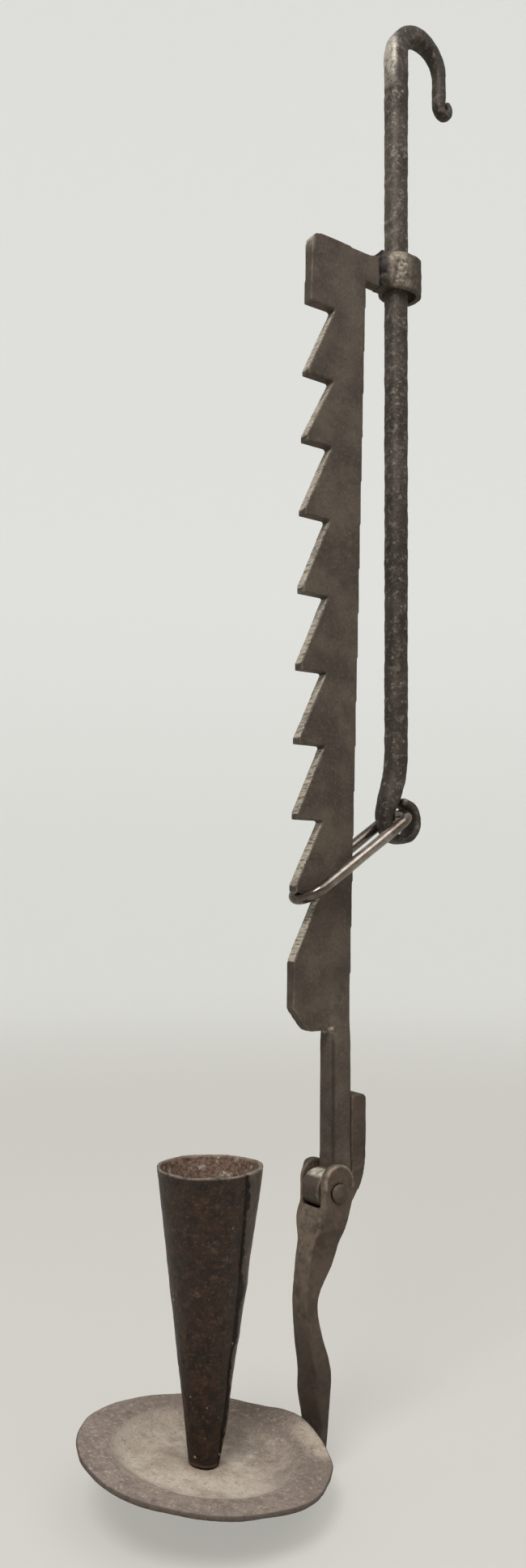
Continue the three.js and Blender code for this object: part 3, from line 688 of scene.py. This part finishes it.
def guide_collar():
    """A strap round the rod, with weld beads against the bar's ear and a crust of slag beside them, painted
    shade in the crevice by the ear, and a paler front, partly a painted highlight.
    """
    low, high = [Vector(p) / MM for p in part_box("guide_collar")]
    ear_x, mid, strap_r = low.x, (low.z + high.z) / 2, high.y
    welds = [
        blob("weld top", (ear_x + 1.0, -0.2, mid + 2.6), (1.6, 2.9, 1.9), 12.0),
        blob("weld mid", (ear_x + 1.1, -0.9, mid + 0.2), (1.7, 2.9, 2.6)),
        blob("weld foot", (ear_x + 1.3, -0.4, mid - 2.8), (1.9, 2.8, 1.8), -10.0),
        blob("weld fill", (ear_x + 2.6, -2.9, mid - 0.2), (1.9, 1.5, 4.2)),
    ]
    crust_lumps = 70
    rng = np.random.default_rng(11)
    for _ in range(crust_lumps):
        turn = math.radians(rng.triangular(190, 225, 285))
        out = strap_r + rng.uniform(-0.35, 0.1)
        size = rng.uniform(0.4, 1.0)
        place = (ROD_X + out * math.cos(turn), out * math.sin(turn), rng.uniform(low.z + 0.7, high.z - 0.8))
        radii = (size, size * 0.7, size * rng.uniform(0.7, 1.3))
        welds.append(blob("crust", place, radii, rng.uniform(0, 90), 1))
    collar = settle(remesh(solid_copy("guide_collar", "guide_collar_strap", *welds), voxel=0.2))
    x, y = places(collar).T[:2]
    beside_ear = smooth(x, ear_x + 0.8, ear_x + 2.2) * smooth(-x, -ROD_X - 2.2, -ROD_X + 1.2)
    # The front beside the ear is painted paler: partly rubbed metal, partly a painted highlight.
    note(collar, "rub_and_highlight", smooth(-y, 2.2, 3.6) * beside_ear * 0.28)
    # Painted shade in the crevice against the bar's ear.
    note(collar, "shade_and_darkening", smooth(-x, -ear_x - 1.0, -ear_x - 0.2))
    skin(collar, COLLAR_IRON, ease=1, dent_size=2.4, dent_depth=0.2, scale_size=0.8, scale_depth=0.14,
         pit_size=1.6, pit_share=0.3, pit_depth=0.08, seed=5.0, wear_height=0.22)
    stand_for(collar, "guide_collar", "bar")


def sawtooth_bar():
    """A flat bar with filed tooth slopes, a burr under its belly, painted highlights on its knuckle's facet,
    the burr and the head's corner, and painted shade along the neck's front-left edge.
    """
    neck_left = NECK_RIGHT - NECK
    along_burr = ((0.6, -0.4), (-0.3, -0.25), (-1.1, -0.05), (-1.8, 0.15), (-2.3, 0.3))
    burrs = [Vector((neck_left + 0.1, y, BELLY_END + rise)) for y, rise in along_burr]
    beads = [blob("neck burr", at, (0.32, 0.62, 0.24), 20.0) for at in burrs]
    bar = settle(remesh(solid_copy("sawtooth_bar", "sawtooth_bar_forged", *beads), voxel=0.32))
    points = places(bar)
    x, y, z = points.T
    turn = np.degrees(np.arctan2(z - PIVOT.y, x - PIVOT.x))
    reach = np.hypot(x - PIVOT.x, z - PIVOT.y)
    # Painted highlights, partly bare metal: the knuckle's top-left facet, the burr under the belly and the
    # head's top-left corner are painted pale.
    facet = smooth(turn, 84, 96) * smooth(-turn, -138, -122) * smooth(reach, 3.6, 4.3) * (z < PIVOT.y + 7)
    from_burr = np.min([np.linalg.norm(points - np.array(at), axis=1) for at in burrs], axis=0)
    ridge = smooth(-from_burr, -0.8, -0.3)
    corner = smooth(z, HEAD_TOP - 6.0, HEAD_TOP - 1.5) * smooth(-x, -HEAD_LEFT - 1.2, -HEAD_LEFT - 0.2)
    note(bar, "rub_and_highlight", np.maximum.reduce([facet * 0.85, ridge * 0.34, corner * 0.3]))
    # Painted shade: a dark line along the neck's front-left edge.
    arris = smooth(-np.hypot(x - neck_left - 0.25, y + NECK / 2 - 0.25), -0.75, -0.2)
    on_neck = smooth(-z, -BELLY_END, -BELLY_END + 3.0) * smooth(z, PIVOT.y + 5.0, PIVOT.y + 8.0)
    note(bar, "shade_and_darkening", arris * on_neck * 0.8)
    skin(bar, BAR_IRON, ease=1, dent_size=12.0, dent_depth=0.14, scale_size=2.0, scale_depth=0.04,
         pit_size=3.0, pit_share=0.15, pit_depth=0.06, file_pitch=1.2, file_depth=0.13,
         file_facing=(-0.91, 0.0, 0.42), file_above=BELLY_END, seed=3.0, wear_height=0.24)
    stand_for(bar, "sawtooth_bar", "bar")


def bail():
    """A wire link of two straight strands and two round ends, butted in its back strand."""
    radius = BAIL_WIDE / 2
    along = (BAIL_TO - BAIL_FROM).normalized()
    start = BAIL_FROM + along * radius
    straight = (BAIL_TO - BAIL_FROM).length - BAIL_WIDE
    turn = math.pi * radius
    loop = 2 * (straight + turn)
    points, count = [], 260
    first = (straight + BAIL_BUTT) / 2
    for s in np.linspace(first, first + loop - BAIL_BUTT, count) % loop:
        if s < straight:
            u, v = s, radius
        elif s < straight + turn:
            a = (s - straight) / radius
            u, v = straight + radius * math.sin(a), radius * math.cos(a)
        elif s < 2 * straight + turn:
            u, v = 2 * straight + turn - s, -radius
        else:
            a = (s - 2 * straight - turn) / radius
            u, v = -radius * math.sin(a), -radius * math.cos(a)
        points.append((start.x + along.x * u, v, start.y + along.y * u))
    wire = make("bail_wire", points, [])
    wire.data.edges.add(count - 1)
    ends = np.stack([np.arange(count - 1), np.arange(1, count)], 1)
    wire.data.edges.foreach_set("vertices", ends.ravel())
    settle(run_tree(wire, BENT_WIRE, wire_radius=WIRE_D / 2 * MM, step=0.35 * MM, material=WIRE_IRON))
    x, y = places(wire).T[:2]
    note(wire, "shade_and_darkening", 0.5 * np.maximum(smooth(-x, 33.0, 39.0), smooth(y, 2.0, 4.0)))
    skin(wire, WIRE_IRON, ease=0, dent_size=7.0, dent_depth=0.1, scale_size=1.4, scale_depth=0.01,
         seed=6.0, wear_height=0.3)
    stand_for(wire, "bail", "bail")


def candle_arm():
    """A forked strap whose lug meets the neck, its shoulder pared and its back ear thinned to the left."""
    voxel = 0.26
    foot, top = PIVOT.y + 6.5, PIVOT.y + LUG_TOP - 0.3
    stop = block("stop face", (NECK_RIGHT - 0.05, -NECK / 2, foot), (NECK_RIGHT + 1.0, NECK / 2, top))
    arm = settle(remesh(solid_copy("candle_arm", "candle_arm_forged", stop), voxel))
    points = places(arm)
    x, y, z = points.T
    cheek = smooth(np.abs(y), 2.6, 3.6) * (z < PIVOT.y - 1.0) * smooth(z, PIVOT.y - 15.0, PIVOT.y - 8.0)
    pared = np.minimum(x, PIVOT.x + 5.0 + (z - PIVOT.y + 1.0) * 0.31)
    thinned = smooth(PIVOT.x - x, 1.2, 3.6) * smooth(z, PIVOT.y - 6.5, PIVOT.y - 2.5) * (y > FORK_SLOT / 2)
    points[:, 1] = y - (y - FORK_SLOT / 2) * EAR_BEVEL * thinned
    points[:, 0] = x + (pared - x) * cheek
    arm.data.vertices.foreach_set("co", (points * MM).ravel())
    settle(remesh(arm, voxel))
    x, y, z = places(arm).T
    ear = np.hypot(x - PIVOT.x - EAR_SET, z - PIVOT.y - EAR_RISE)
    # Painted highlight, partly rubbed metal, on the top of the front ear's rim.
    rim = smooth(ear, 3.7, 4.3) * (ear < 5.0) * (z > PIVOT.y + 1.0) * smooth(-y, 4.6, 5.6)
    # Painted light on the faces turned to the left, fading out towards the arm's foot.
    left = smooth(-facings(arm)[:, 0], 0.7, 0.95) * smooth(z, PIVOT.y - 45.0, PIVOT.y - 12.0)
    note(arm, "rub_and_highlight", np.maximum(rim * 0.4, left * 0.24))
    # Darker towards the arm's foot and on its lug.
    lug = smooth(z, PIVOT.y + 7.0, PIVOT.y + 11.0)
    note(arm, "shade_and_darkening", np.maximum(smooth(-z, 28.0 - PIVOT.y, 50.0 - PIVOT.y) * 0.4, lug * 0.3))
    skin(arm, ARM_IRON, ease=2, dent_size=8.0, dent_depth=0.2, scale_size=1.6, scale_depth=0.06,
         pit_size=2.6, pit_share=0.25, pit_depth=0.08, seed=8.0, wear_height=0.22)
    stand_for(arm, "candle_arm", "arm")


def rivet(node, name, voxel):
    """A rivet, hammered all over."""
    pin = remesh(solid_copy(node, name), voxel)
    skin(pin, RIVET_IRON, ease=2, dent_size=2.4, dent_depth=0.16, scale_size=0.9, scale_depth=0.04,
         seed=10.0, wear_height=0.1)
    stand_for(pin, node, "arm")


def in_pan(points):
    """Points about the pan's rim centre, tipped and put in place."""
    turned = np.asarray(points, float) @ np.array(Matrix.Rotation(math.radians(PAN_TILT), 3, "Y")).T
    return turned + np.array([PAN_CENTRE.x, 0.0, PAN_CENTRE.y])


def drip_pan():
    """Sheet beaten to a well, its level brim bent up beside the arm from a crease, its edge hammered thin."""
    rim, well, floor, hole = PAN_D / 2, WELL_D / 2, WELL_FLOOR_D / 2, 2.3
    wall = well - floor
    pulls = [(floor, -PAN_DEPTH), (floor + wall / 2, -PAN_DEPTH), (well - wall / 4, 0.0), (well, 0.0)]
    slope = bezier(pulls, count=30)
    upper = np.concatenate([
        np.linspace((hole, -PAN_DEPTH), (floor, -PAN_DEPTH), 26),
        slope,
        np.linspace((well, 0.0), (rim - 0.35, 0.0), 18)[1:],
    ])
    edge = np.array([(rim - 0.12, -0.06), (rim, -0.3), (rim, -0.75), (rim - 0.15, -1.1)])
    profile = np.concatenate([upper, edge, upper[::-1] - (0.0, PAN_T)])
    count = 240
    degrees = np.arange(count) / count * 360 - 180
    angle = np.radians(degrees)
    lift_at = [-30, -22, -10, 3, 10, 18, 27, 38, 60, 90, 130]
    lift_share = [0, 0.3, 0.65, 1, 1, 0.8, 0.5, 0.32, 0.25, 0.15, 0]
    beside = np.interp(degrees, lift_at, lift_share)
    waves = ((0.16, 2, 0.6), (0.12, 5, 2.0), (0.08, 9, 0.0), (0.05, 17, 1.0))
    sway = sum(size * np.sin(turns * angle + start) for size, turns, start in waves)
    corner = 0.45 * np.exp(-((degrees + 31.0) / 6.0) ** 2)
    rings = []
    for r, z in profile:
        out = smooth(r, well - 1.5, rim)
        lift = BRIM_LIFT * beside * smooth(r, well - 0.5, rim)
        grown = r + out * (sway + corner - 0.25) - lift ** 2 / (2 * (rim - well))
        wave = out * (0.2 * np.sin(3 * angle + 1.0) + 0.12 * np.sin(7 * angle))
        rings.append(np.stack([grown * np.cos(angle), grown * np.sin(angle), z + lift + wave], 1))
    points = np.concatenate(rings) @ np.array(Matrix.Rotation(math.radians(PAN_ROLL), 3, "X")).T
    faces = band(len(rings), count, flip=True)
    last = (len(rings) - 1) * count
    faces += [(c, (c + 1) % count, last + (c + 1) % count, last + c) for c in range(count)]
    pan = make("drip_pan_beaten", in_pan(points), faces)
    top = np.arange(len(profile)) < len(upper)
    # The bent brim by the arm is marked; its finish paints it pale as a lit band.
    on_brim = top * smooth(profile[:, 0], well - 1.0, well + 4.5)
    beside_arm = smooth(degrees, -31, -24) * smooth(-degrees, -16, 4)
    note(pan, "bent", np.outer(on_brim, beside_arm))
    note(pan, "edge", np.repeat(~top, count))
    skin(pan, PAN_SHEET, ease=1, dent_size=7.0, dent_depth=0.2, scale_size=1.6, scale_depth=0.09,
         pit_size=2.6, pit_share=0.3, pit_depth=0.1, seed=12.0, wear_height=0.14)
    stand_for(pan, "drip_pan", "arm")


def candle_socket():
    """Sheet rolled to a cone: a wandering, ragged lap down one side and a wavering mouth."""
    around, up = 180, 160
    upright = math.tan(math.radians(SOCKET_LEAN - PAN_TILT))
    tip = math.tan(math.radians(PAN_TILT))
    turn = np.linspace(0, 360, around, endpoint=False)
    lapped = np.clip(1 - turn / LAP_RUN, 0, 1)
    under = turn > 360 - 1.5 * 360 / around
    rng = np.random.default_rng(4)
    waver = np.convolve(rng.normal(0, 0.4, up + 60), np.hanning(25), "same")[30:-30]
    rag = np.convolve(rng.normal(0, 0.4, up + 60), np.hanning(5), "same")[30:-30]
    outer, inner = [], []
    for j, part in enumerate(np.linspace(0, 1, up)):
        radius = (SOCKET_END_D + (MOUTH_D - SOCKET_END_D) * part) / 2
        shift = np.degrees((0.35 * waver[j] + 0.3 * rag[j]) / radius) * lapped
        bulge = 0.35 * math.exp(-((part - 0.12) / 0.06) ** 2)
        lift = LAP * (0.7 + 0.08 * waver[j] + bulge) * min(1.0, 0.5 + 4 * part)
        angle = np.radians(LAP_AZIMUTH + LAP_SKEW * part + turn + shift)
        ripple = 0.12 * np.sin(np.radians(turn * 2 + 30)) + 0.08 * np.sin(np.radians(turn * 7 + 40))
        rim = (0.12 + ripple) * part ** 8
        outside = radius + lift * lapped - 0.5 * under
        inside = np.full(around, radius - SOCKET_WALL + 0.4 * part ** 6)
        for rings, r in ((outer, outside), (inner, inside)):
            out = r * np.cos(angle)
            height = SOCKET_H * part + out * part * tip + rim
            leaning = out + SOCKET_H * part * upright
            rings.append(np.stack([leaning, r * np.sin(angle), SOCKET_FLOOR + height], 1))
    lip = outer[-1] * 0.5 + inner[-1] * 0.5 + np.array([0, 0, 0.16])
    rings = [*outer, lip, *inner[::-1]]
    faces = band(len(rings), around)
    last = (len(rings) - 1) * around
    faces += [(last + c, last + (c + 1) % around, (c + 1) % around, c) for c in range(around)]
    cone = make("candle_socket_rolled", in_pan(np.concatenate(rings)), faces)
    marks = {key: np.zeros((len(rings), around)) for key in ("inside", "lap", "mouth", "seam")}
    marks["inside"][up + 1:] = 1.0
    marks["lap"][:up] = (turn > 3) & (turn < 48)
    marks["seam"][:up] = (turn < 3) | (turn > 355)
    marks["mouth"][up - 1:up + 2] = 1.0
    for key, values in marks.items():
        note(cone, key, values)
    skin(cone, SOCKET_SHEET, ease=0, dent_size=6.0, dent_depth=0.16, scale_size=1.2, scale_depth=0.1,
         pit_size=2.0, pit_share=0.4, pit_depth=0.14, seed=14.0, wear_height=0.2)
    stand_for(cone, "candle_socket", "arm")


hook_rod()
guide_collar()
sawtooth_bar()
bail()
candle_arm()
rivet("pivot_rivet", "pivot_rivet_hammered", voxel=0.15)
rivet("socket_rivet", "socket_rivet_hammered", voxel=0.18)
drip_pan()
candle_socket()


# Stage

def pale_floor():
    """A pale floor that curves up all round, seen only from inside, and brighter with distance and height."""
    room_below = 3.0
    under = cad_box[0].z / MM - room_below
    centre = (cad_box[0] + cad_box[1]) / 2 / MM
    flat_r, wall_r, wall_h, count = 1100.0, 2200.0, 2600.0, 96
    cove = wall_r - flat_r
    profile = [(flat_r * p, 0.0) for p in (0.02, 0.2, 0.5, 0.8, 1.0)]
    bend = np.linspace(0.1, math.pi / 2, 16)
    profile += [(flat_r + cove * math.sin(a), cove * (1 - math.cos(a))) for a in bend]
    profile.append((wall_r, wall_h))
    angle = np.arange(count) / count * 2 * np.pi
    rings = []
    for r, z in profile:
        x, y = centre.x + r * np.cos(angle), centre.y + r * np.sin(angle)
        rings.append(np.stack([x, y, np.full(count, under + z)], 1))
    faces = band(len(rings), count)
    faces.append(tuple(range(count))[::-1])
    floor = make("pale_floor", np.concatenate(rings), faces)
    work = bmesh.new()
    work.from_mesh(floor.data)
    bmesh.ops.recalc_face_normals(work, faces=work.faces)
    if sum(f.normal.z * f.calc_area() for f in work.faces) < 0:
        bmesh.ops.reverse_faces(work, faces=work.faces)
    work.to_mesh(floor.data)
    work.free()
    floor.data.shade_smooth()
    material, g = new_material("pale floor")
    seen = g.node("ShaderNodeLightPath").of("Is Camera Ray")
    place = g.node("ShaderNodeTexCoord").of("Object")
    reach = g.vector("DISTANCE", place, (centre.x * MM, centre.y * MM, under * MM)).of("Value")
    height = g.node("ShaderNodeSeparateXYZ", {}, {0: place}).of("Z")
    rise = reach.step(0.3, 1.4) * 0.7 + height.step(under * MM, 0.5) * 0.3
    near_matt = g.node("ShaderNodeBsdfDiffuse", {}, {"Color": srgb(204, 202, 196)})
    far_matt = g.node("ShaderNodeBsdfDiffuse", {}, {"Color": srgb(226, 226, 222)})
    near_glow = g.node("ShaderNodeEmission", {}, {"Color": srgb(207, 205, 198)})
    far_glow = g.node("ShaderNodeEmission", {}, {"Color": srgb(248, 249, 246)})
    matt = g.node("ShaderNodeMixShader", {}, {0: rise, 1: near_matt, 2: far_matt})
    glow = g.node("ShaderNodeMixShader", {}, {0: rise, 1: near_glow, 2: far_glow})
    lit = g.node("ShaderNodeMixShader", {}, {0: seen * 0.6, 1: matt, 2: glow})
    clear = g.node("ShaderNodeBsdfTransparent")
    behind = g.node("ShaderNodeNewGeometry").of("Backfacing")
    shader = g.node("ShaderNodeMixShader", {}, {0: behind, 1: lit, 2: clear})
    g.node("ShaderNodeOutputMaterial", {}, {"Surface": shader})
    floor.data.materials.append(material)


def lamp(name, place, aim, size, watts, colour=(1.0, 1.0, 1.0)):
    """A round soft light in metres and watts, turned to its aim."""
    light = bpy.data.lights.new(name, "AREA")
    light.shape, light.size, light.energy, light.color = "DISK", size, watts, colour
    holder = put(name, light)
    holder.location = place
    holder.rotation_euler = (aim - place).to_track_quat("-Z", "Y").to_euler()


def light_it():
    """A soft window light from the upper left, a weaker fill from above the front, and a pale room."""
    middle = (cad_box[0] + cad_box[1]) / 2
    lamp("window", middle + Vector((-0.55, -0.42, 0.86)), middle, 0.5, 11.0, (1.0, 0.99, 0.97))
    lamp("fill", middle + Vector((0.1, -0.75, 1.0)), middle, 0.9, 5.0)
    world = bpy.data.worlds.new("room")
    bpy.context.scene.world = world
    world.use_nodes = True
    room = world.node_tree.nodes["Background"].inputs
    room["Color"].default_value = (1.0, 0.985, 0.96, 1.0)
    room["Strength"].default_value = 0.6


def place_camera():
    """The photograph's viewpoint: 34 degrees round to the left, looking up by 2, a little rolled."""
    photo_high, focal_pixels, middle_row, sensor = 1938, 1400, 1066, 36.0
    stand = Vector((-0.20753, -0.23205, -0.23857))
    right = Vector((0.828951, -0.559307, 0.004101))
    up = Vector((-0.022917, -0.026638, 0.999382))
    forward = Vector((0.558852, 0.828533, 0.034899))
    data = bpy.data.cameras.new("camera")
    data.sensor_width = sensor
    data.lens = sensor * focal_pixels / photo_high
    data.shift_y = (middle_row - photo_high / 2) / photo_high
    data.clip_start, data.clip_end = 0.01, 20.0
    camera = put("camera", data)
    turn = Matrix((right, up, -forward)).transposed().to_4x4()
    camera.matrix_world = Matrix.Translation(stand) @ turn
    bpy.context.scene.camera = camera


pale_floor()
light_it()
place_camera()
bpy.context.scene.view_settings.view_transform = "Standard"
